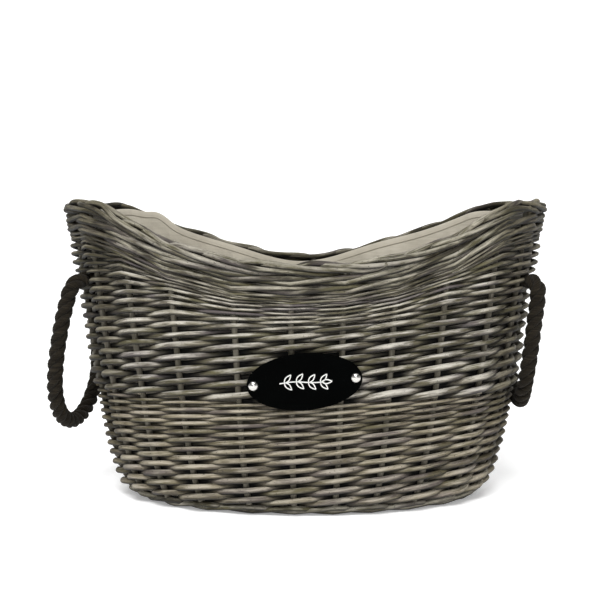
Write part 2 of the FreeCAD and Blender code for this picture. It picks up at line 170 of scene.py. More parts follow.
def rim_at(turn):
    """The rim line round the basket. Its rods ride up a little on each other at the dip, and at the back
    it climbs sooner on either side of the dip."""
    x = half_length(RIM_TOP) * np.cos(turn)
    return rim_height(x) + DIP_LIFT * np.exp(-((x / DIP_WIDTH) ** 2)) + BACK_LIFT * back_shoulder(turn)


def stake_turn(name):
    """A stake's turn round the form, from its own mesh."""
    points = mesh_points(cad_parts[name].data)
    length = half_length(points[:, 2])
    turns = np.arctan2(points[:, 1] / (WIDTH_RATIO * length - WALL / 2), points[:, 0] / (length - WALL / 2))
    return math.atan2(np.sin(turns).mean(), np.cos(turns).mean())


TURNS = np.unwrap([stake_turn(f"stake_{number:02d}") for number in range(1, STAKE_COUNT + 1)])


def turn_of(place):
    """Turn at a place counted in stakes: whole numbers are stakes, and it may go round many times."""
    place = np.asarray(place, float)
    whole = np.floor(place).astype(int)
    rounds, index = np.divmod(whole, STAKE_COUNT)
    closed = np.append(TURNS, TURNS[0] + 2 * math.pi)
    here, following = closed[index], closed[index + 1]
    return here + (following - here) * (place - whole) + 2 * math.pi * rounds


CHORD_SHARE = 0.75


def rod_point(place, height, depth):
    """A point in the wall at a place in stakes, depth outwards from its middle, and the wall's outward
    direction there. Rods run nearly straight from stake to stake, so most of it comes from the chord
    between the two stakes."""
    place = np.asarray(place, float)
    low, high = turn_of(np.floor(place)), turn_of(np.floor(place) + 1)
    share = (place - np.floor(place))[:, None]
    chord = wall_point(low, height, WALL / 2) * (1 - share) + wall_point(high, height, WALL / 2) * share
    curved = wall_point(turn_of(place), height, WALL / 2)
    normal = wall_normal(turn_of(place), height)
    level = unit(normal * [1, 1, 0])
    return chord * CHORD_SHARE + curved * (1 - CHORD_SHARE) + level * depth[:, None], normal


# ---- meshes of rods ----


def link(name, data):
    made = bpy.data.objects.new(name, data)
    bpy.context.scene.collection.objects.link(made)
    return made


def add_field(mesh, label, values):
    """Stores a number or a vector at each point, for the material to read."""
    kind, key = ("FLOAT", "value") if values.ndim == 1 else ("FLOAT_VECTOR", "vector")
    attribute = mesh.attributes.new(label, kind, "POINT")
    attribute.data.foreach_set(key, values.astype(np.float32).ravel())


def mesh_piece(name, vertices, faces, smooth=None, **fields):
    """A piece made of these faces, all of them smooth unless smooth says which ones are."""
    mesh = bpy.data.meshes.new(name)
    mesh.from_pydata(np.asarray(vertices).tolist(), [], faces)
    mesh.polygons.foreach_set("use_smooth", [True] * len(faces) if smooth is None else smooth)
    for label, values in fields.items():
        add_field(mesh, label, values)
    mesh.update()
    return link(name, mesh)


# A rod gets more wash and painted highlight on its outer side and painted shade on its inner side, and its
# cut ends show pale wood.
OUTER_WASH_AND_LIGHT = 0.35
CUT_TONE = 0.97
CUT_WASH_AND_SHADE = 0.6


class RodSet:
    """Gathers tubes into one mesh, with what its material reads at each point: a tone for the rod, how far
    out it stands, which sets its wash, painted highlight and painted shade, and a place along and across
    the rod for its grain."""

    def __init__(self, sides=8):
        self.sides = sides
        self.vertices, self.faces = [], []
        self.tones, self.wears, self.grains = [], [], []
        self.count = 0

    def add(self, points, radii, outward, tone, wear, tall=1.0, twist=0.0):
        """points and outward are n by 3. radii, wear and tall are one value, or one for each point, and
        tall is how many times higher than deep the tube is. twist is the grain's turns for each metre."""
        points, outward = np.asarray(points, float), np.asarray(outward, float)
        n, sides = len(points), self.sides
        tangent = directions(points)
        side = unit(outward - tangent * (outward * tangent).sum(1, keepdims=True))
        upward = np.cross(tangent, side)
        angles = 2 * math.pi * np.arange(sides) / sides
        radii = np.broadcast_to(radii, n)[:, None, None]
        tall = np.broadcast_to(tall, n)[:, None, None]
        ring = side[:, None, :] * np.cos(angles)[None, :, None]
        ring = ring + upward[:, None, :] * np.sin(angles)[None, :, None] * tall
        tube = points[:, None, :] + ring * radii
        travelled = distances(points)
        shift = RANDOM.random(3)
        turned = angles[None, :] + 2 * math.pi * twist * travelled[:, None]
        grain = np.empty((n, sides, 3))
        grain[..., 0] = travelled[:, None] + shift[0]
        grain[..., 1] = np.cos(turned) * radii[..., 0] + shift[1]
        grain[..., 2] = np.sin(turned) * radii[..., 0] + shift[2]
        start = self.count
        # The outer side of each rod is given more wash and painted highlight, and the inner side painted
        # shade.
        wear = np.broadcast_to(wear, n)[:, None] + OUTER_WASH_AND_LIGHT * np.cos(angles)[None, :]
        self._store(tube.reshape(-1, 3), tone, wear.reshape(-1), grain.reshape(-1, 3))
        row = np.arange(sides)
        following = (row + 1) % sides
        for i in range(n - 1):
            a = start + i * sides
            b = a + sides
            self.faces += np.stack([a + row, a + following, b + following, b + row], axis=1).tolist()
        for i, flip in ((0, True), (n - 1, False)):
            edge = self.count
            self._store(tube[i], CUT_TONE, np.full(sides, CUT_WASH_AND_SHADE), grain[i])
            self._store(points[i][None], CUT_TONE, np.array([CUT_WASH_AND_SHADE]), grain[i][:1])
            middle = edge + sides
            for j in range(sides):
                k = (j + 1) % sides
                outer = [edge + k, edge + j] if flip else [edge + j, edge + k]
                self.faces.append([middle, *outer])

    def _store(self, points, tone, wear, grain):
        self.vertices.append(points)
        self.tones.append(np.full(len(points), tone))
        self.wears.append(wear)
        self.grains.append(grain)
        self.count += len(points)

    def build(self, name):
        fields = {"tone": self.tones, "wear": self.wears, "grain": self.grains}
        joined = {label: np.concatenate(parts) for label, parts in fields.items()}
        smooth = [len(face) == 4 for face in self.faces]
        return mesh_piece(name, np.concatenate(self.vertices), self.faces, smooth, **joined)


STEPS_PER_STAKE = 8
# Rods and stakes are pressed a little into each other, and a rod rides up where it stands out.
NESTING = 0.85
RIDE_UP = 0.2
# A rod this thick gets all its wash and painted highlight where it stands out, and all its painted shade
# where it lies back, and thinner ones less, by this power.
THICK_ROD_RADIUS = 3.6 * MM
WASH_AND_SHADE_POWER = 1.5


def between_stakes(values, shares):
    """Values given at each stake, filled in between them, with these shares of the way to the next one."""
    values = np.asarray(values, float)
    body = values[:-1, None] * (1 - shares) + values[1:, None] * shares
    return np.append(body.ravel(), values[-1])


def add_woven_rod(rods, first, heights, sides_out, radii, tone):
    """A rod that passes the stakes from the first one on, in front of or behind each, at these heights."""
    shares = np.arange(STEPS_PER_STAKE) / STEPS_PER_STAKE
    places = first + between_stakes(np.arange(len(heights)), shares)
    radius = between_stakes(radii, shares)
    height = between_stakes(heights, shares)
    reach = NESTING * (STAKE_RADIUS + np.asarray(radii))
    depth = between_stakes(reach * np.asarray(sides_out), (1 - np.cos(math.pi * shares)) / 2)
    points, outward = rod_point(places, height + RIDE_UP * depth, depth)
    # How far out each point stands gives it wash and painted highlight, and how far back it lies, painted
    # shade.
    furthest = NESTING * (STAKE_RADIUS + THICK_ROD_RADIUS)
    wear = depth / furthest * (radius / THICK_ROD_RADIUS) ** WASH_AND_SHADE_POWER
    rods.add(points, radius, outward, tone, wear)


# ---- the randed weaves: each rod starts at a stake of its own and climbs as it goes round ----

PALEST_ROD = 0.93


def rod_tone():
    return float(RANDOM.random() * PALEST_ROD)


def uneven(whole, along, count):
    """Factors near 1 for a rod's thickness: how far whole rods differ, and how far one differs along."""
    return RANDOM.normal(1.0, whole) * RANDOM.normal(1.0, along, count)


# Rods are a little thicker than their rows, because they nest between each other.
LOWER_FULLNESS = 1.16
UPPER_FULLNESS = 1.04
LOWER_START = 11.3 * MM
LOWER_THICK = 6.5 * MM
LOWER_WOBBLE = 0.35 * MM
DENSE_THICK = 3.4 * MM
TAPER_POWER = 1.5
LEAN_SHARE = 0.8


def lower_levels():
    """Heights and thicknesses of the lower set's steps: its rods taper to thin tips in the dense band."""
    heights, thicknesses = [LOWER_START], [LOWER_THICK]
    while heights[-1] < DENSE_TOP - DENSE_THICK / 2:
        share = (heights[-1] - LOWER_START) / (DENSE_TOP - LOWER_START)
        thick = LOWER_THICK + (DENSE_THICK - LOWER_THICK) * share**TAPER_POWER
        slope = math.atan(LEAN_SHARE * flare(heights[-1]))
        heights.append(heights[-1] + thick * math.cos(slope))
        thicknesses.append(thick)
    return np.array(heights), np.array(thicknesses)


def make_lower_weave():
    heights, thicknesses = lower_levels()
    rods = RodSet()
    count = len(heights)
    for start in range(STAKE_COUNT):
        wobble = RANDOM.normal(0, LOWER_WOBBLE, count)
        radii = LOWER_FULLNESS * thicknesses / 2 * uneven(whole=0.05, along=0.04, count=count)
        sides_out = np.where(np.arange(count) % 2 == 1, 1.0, -1.0)
        add_woven_rod(rods, start, heights + wobble, sides_out, radii, rod_tone())
    return rods.build("lower_weave_rods")


UPPER_THICK = 7.4 * MM
UPPER_THICK_HIGH = 4.9 * MM
UPPER_STEPS_TO_THIN = 24
UPPER_WOBBLE = 0.55 * MM
PACKING_ZONE = 52 * MM
PACKING_ZONE_END = 12 * MM
THINNEST_SHARE = 0.42
SQUEEZE_POWER = 0.7
WEAVE_DROP = 45 * MM


def upper_level(place, climb):
    """Height of a rod that has climbed so far, and how much it is squeezed. Rows lie level low down, and
    close up under the wale where the rim dips."""
    ceiling = rim_at(turn_of(place)) - WEAVE_DROP - DENSE_TOP
    full = RIM_TOP - WEAVE_DROP - DENSE_TOP
    dip = RIM_DIP - WEAVE_DROP - DENSE_TOP
    share = np.clip((ceiling - dip) / (full - dip), 0, 1)
    zone = PACKING_ZONE + (PACKING_ZONE_END - PACKING_ZONE) * share
    knee = ceiling - zone
    beyond = np.maximum(climb - knee, 0) / zone
    thinned = -math.log(THINNEST_SHARE)
    closing = 1 - THINNEST_SHARE + THINNEST_SHARE * (beyond - thinned)
    rise = np.minimum(climb, knee) + zone * np.where(beyond < thinned, 1 - np.exp(-beyond), closing)
    return DENSE_TOP + rise, np.maximum(np.exp(-beyond), THINNEST_SHARE)


def make_upper_weave():
    """The middle weave. Its rods start behind the stakes, in the dense band's last row. One that reaches
    the wale ends there, and another goes on from where the rim is higher again. Rods thin less than their
    rows close up."""
    rods = RodSet()
    full_climb = RIM_TOP - WEAVE_DROP - DENSE_TOP
    steps = int(full_climb / UPPER_THICK_HIGH) + 2
    number = np.arange(steps)
    thinned = np.minimum(number / UPPER_STEPS_TO_THIN, 1)
    thicknesses = UPPER_THICK + (UPPER_THICK_HIGH - UPPER_THICK) * thinned
    climbs = np.cumsum(thicknesses) - 1.5 * thicknesses
    for diagonal in range(STAKE_COUNT):
        places = diagonal + number
        heights, squeezes = upper_level(places, climbs)
        alive = heights < rim_at(turn_of(places)) - WEAVE_DROP
        run = []
        for i in range(steps + 1):
            if i < steps and alive[i]:
                run.append(i)
                continue
            if len(run) > 1:
                add_upper_rod(rods, np.array(run), diagonal, heights, thicknesses * squeezes**SQUEEZE_POWER)
            run = []
    return rods.build("upper_weave_rods")


def add_upper_rod(rods, run, diagonal, heights, thicknesses):
    count = len(run)
    wobble = RANDOM.normal(0, UPPER_WOBBLE, count)
    radii = UPPER_FULLNESS * thicknesses[run] / 2 * uneven(whole=0.07, along=0.05, count=count)
    sides_out = np.where(run % 2 == 1, 1.0, -1.0)
    add_woven_rod(rods, diagonal + run[0], heights[run] + wobble, sides_out, radii, rod_tone())


# ---- wales: three rods in turn, each in front of two stakes and behind one ----

# The two rods in front lie this many thicknesses apart, and a new rod starts after this many stakes.
WALE_SPACING = 0.95
WALE_ROD_STAKES = 6


def add_wale_round(rods, level, thick):
    """level gives the round's middle height at a place."""
    radius = thick / 2
    for start in range(3):
        numbers = np.arange(STAKE_COUNT + 1) + start
        phase = (numbers - start) % 3
        offset = np.choose(phase, [0.0, -0.5, 0.5]) * thick * WALE_SPACING
        heights = level(numbers) + offset
        sides_out = np.choose(phase, [-1.0, 1.0, 1.0])
        radii = np.full(len(numbers), radius) * RANDOM.normal(1.0, 0.04, len(numbers))
        radii[-1] = radii[0]
        cuts = list(range(0, STAKE_COUNT + 1, WALE_ROD_STAKES))
        for begin, end in zip(cuts, cuts[1:]):
            part = slice(begin, end + 1)
            add_woven_rod(rods, numbers[begin], heights[part], sides_out[part], radii[part], rod_tone())


FOOT_HEIGHT = 5.7 * MM
FOOT_THICK = 6.2 * MM


def make_foot():
    rods = RodSet()
    add_wale_round(rods, lambda numbers: np.full(len(numbers), FOOT_HEIGHT), FOOT_THICK)
    return rods.build("foot_wale_rods")


# Each round's drop below the rim line, and how thick its rods are.
RIM_ROUNDS = ((24.5 * MM, 6.6 * MM), (35.5 * MM, 6.2 * MM), (43 * MM, 3.6 * MM), (48 * MM, 3.2 * MM))


def make_rim_wale():
    rods = RodSet()
    for drop, thick in RIM_ROUNDS:
        add_wale_round(rods, lambda numbers, drop=drop: rim_at(turn_of(numbers)) - drop, thick)
    return rods.build("rim_wale_rods")


# ---- the border: each stake's end is laid down along the rim ----

# Places after its own stake, depth outwards from the wall's middle, and drop below the rim line.
BORDER_ROUTE = (
    (0.0, 0.0, 32 * MM),
    (0.03, 1 * MM, 17 * MM),
    (0.14, 2.5 * MM, 8 * MM),
    (0.4, 2 * MM, 4.2 * MM),
    (0.75, -4 * MM, 5.2 * MM),
    (1.1, -6.5 * MM, 7 * MM),
    (1.5, -2 * MM, 6 * MM),
    (2.0, 5.5 * MM, 8 * MM),
    (2.5, 7 * MM, 10.5 * MM),
    (3.0, 7.2 * MM, 13.5 * MM),
    (3.5, 4 * MM, 16 * MM),
    (4.0, -5 * MM, 17 * MM),
)
BORDER_RADIUS = 3.9 * MM
BORDER_TIP_RADIUS = 2.8 * MM
BORDER_WOBBLE = 0.5 * MM
BORDER_FACE = 9 * MM
# This share of the ends stop here, outside the wall, where the cut shows.
CUT_SHARE = 0.35
CUT_STOP = (3.75, 8.5 * MM, 11 * MM)


def smooth_curve(values, steps):
    """Catmull-Rom through the values, with steps points for each gap."""
    values = np.asarray(values, float)
    padded = np.vstack([2 * values[0] - values[1], values, 2 * values[-1] - values[-2]])
    share = (np.arange(steps) / steps)[:, None, None]
    p0, p1, p2, p3 = padded[:-3], padded[1:-2], padded[2:-1], padded[3:]
    curve = 0.5 * (
        2 * p1 + (p2 - p0) * share + (2 * p0 - 5 * p1 + 4 * p2 - p3) * share**2
        + (3 * p1 - p0 - 3 * p2 + p3) * share**3
    )
    body = np.swapaxes(curve, 0, 1).reshape(-1, values.shape[1])
    return np.vstack([body, values[-1]])


def make_border():
    rods = RodSet(sides=10)
    for stake in range(STAKE_COUNT):
        route = np.array(BORDER_ROUTE)
        route[1:, 1:] += RANDOM.normal(0, BORDER_WOBBLE, (len(route) - 1, 2))
        if RANDOM.random() < CUT_SHARE:
            route[-1] = CUT_STOP
        route = smooth_curve(route, 6)
        places = stake + route[:, 0]
        heights = rim_at(turn_of(places)) - route[:, 2]
        points, outward = rod_point(places, heights, route[:, 1])
        radii = np.linspace(BORDER_RADIUS, BORDER_TIP_RADIUS, len(points)) * RANDOM.normal(1.0, 0.05)
        # Border parts further out get more wash and painted highlight, and those further in get painted
        # shade.
        wear = 0.75 + 0.25 * route[:, 1] / BORDER_FACE
        rods.add(points, radii, outward, rod_tone(), wear)
    return rods.build("rim_border_rods")


# ---- the base: rounds of rods that wave up and down between its two faces ----

BASE_ROD = 5 * MM
BASE_RING_PITCH = 5.4 * MM
BASE_WAVE = 3.6 * MM
BASE_SPOKES = 28
STEPS_PER_SPOKE = 5


def make_base():
    low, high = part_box("base_weave")
    middle = (low.z + high.z) / 2
    rods = RodSet(sides=6)
    places = np.linspace(0, 1, BASE_SPOKES * STEPS_PER_SPOKE + 1)
    turns = 2 * math.pi * places
    for ring in range(int((high.y - BASE_ROD) / BASE_RING_PITCH) + 1):
        inset = 0.6 * BASE_ROD + ring * BASE_RING_PITCH
        points = np.stack([
            (high.x - inset) * np.cos(turns),
            (high.y - inset) * np.sin(turns),
            middle + BASE_WAVE * np.cos(math.pi * BASE_SPOKES * places + math.pi * ring),
        ], axis=1)
        down = np.tile([0.0, 0.0, -1.0], (len(points), 1))
        rods.add(points, BASE_ROD / 2, down, rod_tone(), 0.3)
    return rods.build("base_weave_rods")


# ---- the ropes ----

ROPE_DIAMETER = 20 * MM
ROPE_LAY = 43 * MM
STRAND_RADIUS = 5.0 * MM
YARN_LAY = 24 * MM
EXIT_X = 283 * MM
EXIT_Y = 70 * MM
EXIT_HEIGHT = 270 * MM
EXIT_ANGLE = math.radians(39)
WITHIN_WALL = -20 * MM
BEND_FACE = -3 * MM
BEND_DROOP = 6 * MM
KNOT_FACE = -40 * MM
KNOT_CENTRE = -63 * MM

# Centre lines of the two loops, from the front exit round to the back one, in millimetres.
LEFT_LOOP = (
    (-286, -71, 246), (-293, -72, 216), (-299, -72, 180), (-303, -67, 137), (-301, -43, 101),
    (-292, 1, 85), (-281, 44, 100), (-272, 67, 139), (-273, 71, 181), (-277, 70, 218), (-281, 70, 248),
)
RIGHT_LOOP = (
    (281, -70, 248), (277, -70, 222), (273, -71, 191), (268, -67, 155), (267, -44, 125),
    (271, -1, 112), (270, 42, 124), (270, 67, 155), (274, 71, 191), (278, 71, 222), (281, 70, 248),
)


def exit_point(side, end, along):
    """A point on the rope's line through the wall, that far outwards from the exit. side is -1 on the
    left and 1 on the right, and end is -1 at the front and 1 at the back."""
    return np.array([
        side * (EXIT_X + along * math.cos(EXIT_ANGLE)),
        end * (EXIT_Y + along * math.sin(EXIT_ANGLE)),
        EXIT_HEIGHT,
    ])


def smooth_line(name, route):
    """Points along the NURBS line that has the route as its control points."""
    curve = bpy.data.curves.new(name, "CURVE")
    curve.dimensions = "3D"
    curve.resolution_u = 24
    spline = curve.splines.new("NURBS")
    spline.points.add(len(route) - 1)
    for point, place in zip(spline.points, route):
        point.co = (*place, 1)
    spline.order_u = 3
    spline.use_endpoint_u = True
    holder = bpy.data.objects.new(name, curve)
    mesh = bpy.data.meshes.new_from_object(holder)
    points = mesh_points(mesh)
    bpy.data.objects.remove(holder)
    bpy.data.meshes.remove(mesh)
    return points


def evenly(points, step):
    """Points spread evenly along the same line, about a step apart, and how far along it each is."""
    lengths = distances(points)
    places = np.linspace(0, lengths[-1], max(int(lengths[-1] / step), 4) + 1)
    return np.stack([np.interp(places, lengths, points[:, axis]) for axis in range(3)], axis=1), places


def carried_normals(points):
    """Normals along a line that turn with it and don't spin round it."""
    tangent = directions(points)
    normal = np.cross(tangent[0], [0.0, 0.0, 1.0] if abs(tangent[0][2]) < 0.9 else [1.0, 0.0, 0.0])
    normals = []
    for direction in tangent:
        normal = normal - direction * (normal @ direction)
        normal = normal / np.linalg.norm(normal)
        normals.append(normal)
    normals = np.array(normals)
    return normals, np.cross(tangent, normals)


STRAND_STEP = 1.8 * MM


def add_strands(rods, line, size=1.0, fray=None):
    """Three twisted strands along a line. fray gives distances along it, and the share by which the
    strands spread there."""
    points, places = evenly(line, STRAND_STEP)
    normals, others = carried_normals(points)
    fray = np.zeros(len(points)) if fray is None else np.interp(places, *fray)
    for strand in range(3):
        angle = 2 * math.pi * (places / (ROPE_LAY * size) + strand / 3)
        outward = normals * np.cos(angle)[:, None] + others * np.sin(angle)[:, None]
        offset = (ROPE_DIAMETER / 2 - STRAND_RADIUS) * size * (1 + fray)
        radius = STRAND_RADIUS * size * (1 + 0.02 * RANDOM.normal(0, 1, len(points)))
        strand_line = points + outward * offset[:, None]
        rods.add(strand_line, radius, outward, rod_tone(), 0.0, twist=-1 / YARN_LAY)
    return points, normals, others


FIBRES_PER_METRE = 520
FIBRE_RADIUS = 0.14 * MM
SHORTEST_FIBRE = 4 * MM
FIBRE_SPREAD = 3 * MM
LONGEST_FIBRE = 15 * MM


def add_fibres(fibres, points, normals, others):
    """Stray hairs that leave the rope slantwise and curl, most of them short."""
    step = np.linalg.norm(points[1] - points[0])
    for _ in range(int(FIBRES_PER_METRE * step * len(points))):
        i = RANDOM.integers(2, len(points) - 2)
        angle = RANDOM.random() * 2 * math.pi
        outward = normals[i] * math.cos(angle) + others[i] * math.sin(angle)
        tangent = (points[i + 1] - points[i]) / step * RANDOM.choice([-1.0, 1.0])
        length = min(SHORTEST_FIBRE + RANDOM.exponential(FIBRE_SPREAD), LONGEST_FIBRE)
        curl = np.cross(outward, tangent) * RANDOM.normal(0, 0.7)
        share = np.linspace(0, 1, 5)[:, None]
        away = outward * 0.45 + tangent + curl * share
        hair = points[i] + outward * ROPE_DIAMETER * 0.44 + away * share * length
        radii = FIBRE_RADIUS * (1 - 0.7 * share[:, 0])
        fibres.add(hair, radii, np.cross(tangent, curl) + outward, 0.9, 0.6)


def make_rope(side_name, side, loop):
    """One rope from knot to knot: through the wall, round its loop and back in."""
    start = [exit_point(side, -1, along) for along in (KNOT_FACE, WITHIN_WALL, BEND_FACE)]
    finish = [exit_point(side, 1, along) for along in (BEND_FACE, WITHIN_WALL, KNOT_FACE)]
    start[-1][2] -= BEND_DROOP
    finish[0][2] -= BEND_DROOP
    middle = [np.array(point) * MM for point in loop]
    line = smooth_line(f"{side_name}_rope_route", start + middle + finish)
    rods = RodSet(sides=12)
    points, normals, others = add_strands(rods, line)
    rope = rods.build(f"{side_name}_rope")
    hairs = RodSet(sides=3)
    add_fibres(hairs, points, normals, others)
    fibres = hairs.build(f"{side_name}_rope_fibres")
    for piece in (rope, fibres):
        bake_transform(piece)
    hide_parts(f"{side_name}_rope_loop")
    return [rope, fibres]


KNOT_SCALE = 4.4 * MM
TAIL_LENGTH = 44 * MM
TAIL_DROOP = 9 * MM


def make_knot(side_name, side, end_name, end):
    """An overhand knot inside the liner, with its frayed tail. Its turns follow a trefoil, which is an
    overhand knot with its two ends joined."""
    t = np.linspace(0.35, 2 * math.pi + 0.1, 60)
    flat_x = np.sin(t) + 2 * np.sin(2 * t)
    flat_y = np.cos(t) - 2 * np.cos(2 * t)
    depth = -1.9 * np.sin(3 * t)
    inward = exit_point(side, end, -1.0) - exit_point(side, end, 0.0)
    across = np.cross(inward, [0.0, 0.0, 1.0])
    upward = np.array([0.0, 0.0, 1.0])
    centre = exit_point(side, end, KNOT_CENTRE)
    turns = np.outer(flat_x, across) + np.outer(flat_y, upward) + np.outer(depth, inward)
    rods = RodSet(sides=10)
    add_strands(rods, centre + turns * KNOT_SCALE, size=0.8)
    neck = np.array([exit_point(side, end, KNOT_FACE + 4 * MM), centre])
    add_strands(rods, neck, size=0.95)
    share = np.linspace(0, 1, 12)[:, None]
    tail = centre + inward * share * TAIL_LENGTH - upward * share**2 * TAIL_DROOP
    add_strands(rods, tail, size=0.92, fray=((0, 0.62 * TAIL_LENGTH, TAIL_LENGTH), (0, 0, 0.9)))
    knot = rods.build(f"{side_name}_{end_name}_rope_knot")
    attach(knot, "basket")
    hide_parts(f"{side_name}_{end_name}_rope_end")
    return knot


# ---- the cloth liner ----

LINER_INSET = WALL + 8 * MM
LINER_DROP = 14 * MM
LINER_COLUMNS = 260
LINER_ROWS = 54
PEAK_TURN = math.radians(136)
PEAK_WIDTH = math.radians(4.5)
PEAK_RISE = 9 * MM
BACK_LINER_LIFT = 5.5 * MM
DIP_LINER_LIFT = 2 * MM
OUTWARD_LIMIT = 5 * MM
INWARD_LIMIT = 14 * MM
CLOTH_GROWTH = 0.045
HEM_HEIGHT = 9 * MM
HEM_THICKNESS = 0.4 * MM
HEM_ROWS = 3
HEM_POINTS = 321
HEM_GAP = 0.2 * MM


def liner_top(turn):
    """The liner's top edge hangs just under the border, higher at the back, where one fold is pulled up."""
    away = (turn - PEAK_TURN + math.pi) % (2 * math.pi) - math.pi
    droop = 1.8 * MM * np.sin(5 * turn + 1.0) + 1.2 * MM * np.sin(11 * turn)
    lift = BACK_LINER_LIFT * back_shoulder(turn) + DIP_LINER_LIFT * eased(np.sin(turn), 0.0, 0.6)
    lift = lift + PEAK_RISE * np.exp(-((away / PEAK_WIDTH) ** 2))
    return rim_at(turn) - LINER_DROP + droop + lift


def grid_faces(columns, rows):
    faces = []
    for row in range(rows - 1):
        for column in range(columns):
            following = (column + 1) % columns
            low, high = row * columns, (row + 1) * columns
            faces.append((low + column, low + following, high + following, high + column))
    return faces


def make_liner_side():
    turns = np.linspace(0, 2 * math.pi, LINER_COLUMNS, endpoint=False)
    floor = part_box("liner_base")[1].z
    shares = np.linspace(0, 1, LINER_ROWS)
    rows = []
    for share in shares:
        height = floor + (liner_top(turns) - floor) * share
        rows.append(wall_point(turns, height, LINER_INSET))
    rest = np.concatenate(rows)
    perimeter = float(np.linalg.norm(rows[-1] - np.roll(rows[-1], 1, axis=0), axis=1).sum())
    # lay is each point's place in the flat cloth, for its weave.
    lay = np.stack([
        np.tile(turns / (2 * math.pi) * perimeter, LINER_ROWS), rest[:, 2], np.zeros(len(rest)),
    ], axis=1)
    piece = mesh_piece("liner_side_cloth", rest, grid_faces(LINER_COLUMNS, LINER_ROWS), lay=lay)
    crumple(piece)
    return piece, perimeter


def crumple(piece):
    """Lets the cloth, cut a little larger than the basket, wrinkle between its top and bottom edges."""
    mesh = piece.data
    rest = mesh_points(mesh)
    outward = unit(rest * [1, 1 / WIDTH_RATIO, 0])
    row = np.arange(len(rest)) // LINER_COLUMNS
    free = (row > 0) & (row < LINER_ROWS - HEM_ROWS)
    seed = RANDOM.normal(0, 1.2 * MM, len(rest)) * free
    mesh.vertices.foreach_set("co", (rest + outward * seed[:, None]).ravel())
    simulate(piece, [int(i) for i in np.nonzero(~free)[0]])
    moved = mesh_points(mesh)
    out = ((moved - rest) * outward).sum(1)
    kept = np.clip(out, -INWARD_LIMIT, OUTWARD_LIMIT)
    moved += outward * (kept - out)[:, None]
    mesh.vertices.foreach_set("co", moved.ravel())
    mesh.update()


CLOTH_FRAMES = 26


def simulate(piece, held):
    """Lets the cloth settle with these points held, and keeps its last shape."""
    scene = bpy.context.scene
    group = piece.vertex_groups.new(name="held")
    group.add(held, 1.0, "REPLACE")
    cloth = piece.modifiers.new("cloth", "CLOTH")
    settings = cloth.settings
    settings.quality = 6
    settings.mass = 0.25
    settings.shrink_min = -CLOTH_GROWTH
    settings.tension_stiffness = 20
    settings.compression_stiffness = 20
    settings.bending_stiffness = 0.4
    settings.vertex_group_mass = group.name
    cloth.collision_settings.use_collision = False
    cloth.point_cache.frame_end = CLOTH_FRAMES
    for number in range(1, CLOTH_FRAMES + 1):
        scene.frame_set(number)
    graph = bpy.context.evaluated_depsgraph_get()
    settled = piece.evaluated_get(graph).to_mesh()
    places = mesh_points(settled)
    piece.modifiers.remove(cloth)
    piece.vertex_groups.remove(group)
    piece.data.vertices.foreach_set("co", places.ravel())
    scene.frame_set(1)


def make_liner_hem():
    """The turned-over hem along the liner's top edge."""
    turns = np.linspace(0, 2 * math.pi, HEM_POINTS)
    heights = liner_top(turns) - HEM_HEIGHT / 2
    points = wall_point(turns, heights, LINER_INSET + HEM_GAP)
    tall = HEM_HEIGHT / 2 / HEM_THICKNESS
    hem = RodSet(sides=10)
    hem.add(points, HEM_THICKNESS, wall_normal(turns, heights), 0.5, 0.5, tall=tall)
    piece = hem.build("liner_hem")
    add_field(piece.data, "lay", np.concatenate(hem.grains))
    return piece


BASE_CLOTH_RINGS = 26
BASE_CLOTH_COLUMNS = 120
BASE_CLOTH_LIFT = 2.6 * MM
BASE_RIPPLE = 1.3 * MM
SMALLEST_RING = 0.005


def make_liner_base():
    """The oval base panel, in rings from its edge inwards. It lies flat at the edge and ripples within."""
    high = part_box("liner_base")[1]
    turns = np.linspace(0, 2 * math.pi, BASE_CLOTH_COLUMNS, endpoint=False)
    rings = []
    for share in np.linspace(0, 1, BASE_CLOTH_RINGS):
        size = 1 - (1 - SMALLEST_RING) * share
        x = high.x * size * np.cos(turns)
        y = high.y * size * np.sin(turns)
        within = min(1, 6 * share)
        ripple = BASE_RIPPLE * (np.sin(38 * x + 21 * y) + np.sin(17 * x - 45 * y + 2)) * within
        rings.append(np.stack([x, y, high.z + BASE_CLOTH_LIFT * within + ripple], axis=1))
    vertices = np.concatenate(rings)
    faces = grid_faces(BASE_CLOTH_COLUMNS, BASE_CLOTH_RINGS)
    faces.append(tuple(range(len(vertices) - BASE_CLOTH_COLUMNS, len(vertices))))
    piece = mesh_piece("liner_base_cloth", vertices, faces, lay=vertices * [1, 1, 0])
    return piece, 2 * high.x, 2 * high.y


# ---- the plaque's ornament ----


def plaque_frame():
    """The plaque's front centre and its long, short and outward directions, from its own mesh."""
    points = mesh_points(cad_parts["plaque"].data)
    centre = (points.min(0) + points.max(0)) / 2
    _, _, axes = np.linalg.svd(points - points.mean(0), full_matrices=False)
    along = axes[0] * np.sign(axes[0][0])
    out = axes[2] * -np.sign(axes[2][1])
    up = np.cross(out, along)
    thick = ((points - centre) @ out).max()
    return centre + out * thick, along, up, out


PAINT_THICK = 0.3 * MM
PAINT_SUNK = 0.1 * MM
STROKE = 1.15 * MM
SPRIG_LENGTH = 56 * MM
LEAF_LENGTH = 11.5 * MM
LEAF_WIDTH = 4.6 * MM
LEAF_PAIRS = 4
LEAF_ANGLE = math.radians(48)
STEM_WAVE = 1.2 * MM
# Shares of the sprig's length: its stem, the place of its first leaves, and from those to its last.
STEM_SHARE = 0.86
FIRST_LEAVES = 0.1
LEAVES_SPAN = 0.72


